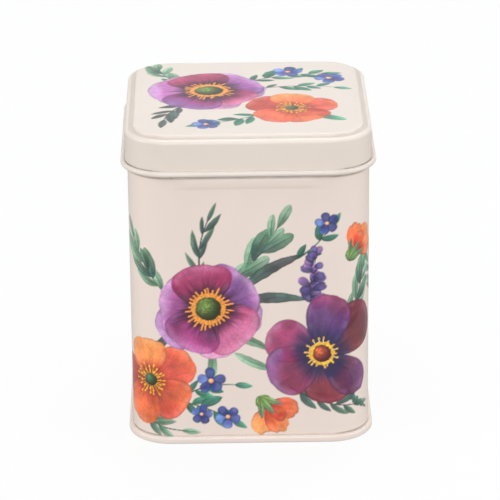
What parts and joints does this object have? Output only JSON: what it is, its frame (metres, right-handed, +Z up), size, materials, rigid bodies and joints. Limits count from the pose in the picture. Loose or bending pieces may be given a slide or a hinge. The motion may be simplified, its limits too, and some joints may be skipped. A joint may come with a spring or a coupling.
{
  "type": "talcum powder tin",
  "caption": "Small square lacquered tin with rounded corners, a slip-over lid and a perforated sifter insert in its mouth.",
  "frame": {"origin": "centre of the foot, on the ground", "axes": "+Z up, -Y towards the front, +X to the right seen from the front"},
  "size_m": [0.076, 0.076, 0.0985],
  "materials": {
    "printed_lacquer": "satin gloss",
    "plain_lacquer": "satin gloss",
    "bare_tinplate": "satin"
  },
  "bodies": {
    "tin_body": {"body_wall": "printed_lacquer", "base_end": "plain_lacquer"},
    "tin_sifter": {"sifter_insert": "bare_tinplate"},
    "tin_lid": {"lid": "printed_lacquer"}
  },
  "joints": [
    {"name": "sifter_lift", "type": "slide", "parent": "tin_body", "child": "tin_sifter", "axis": [0, 0, 1], "range_m": [0, 0.03]},
    {"name": "lid_lift", "type": "slide", "parent": "tin_sifter", "child": "tin_lid", "axis": [0, 0, 1], "range_m": [0, 0.04]}
  ]
}
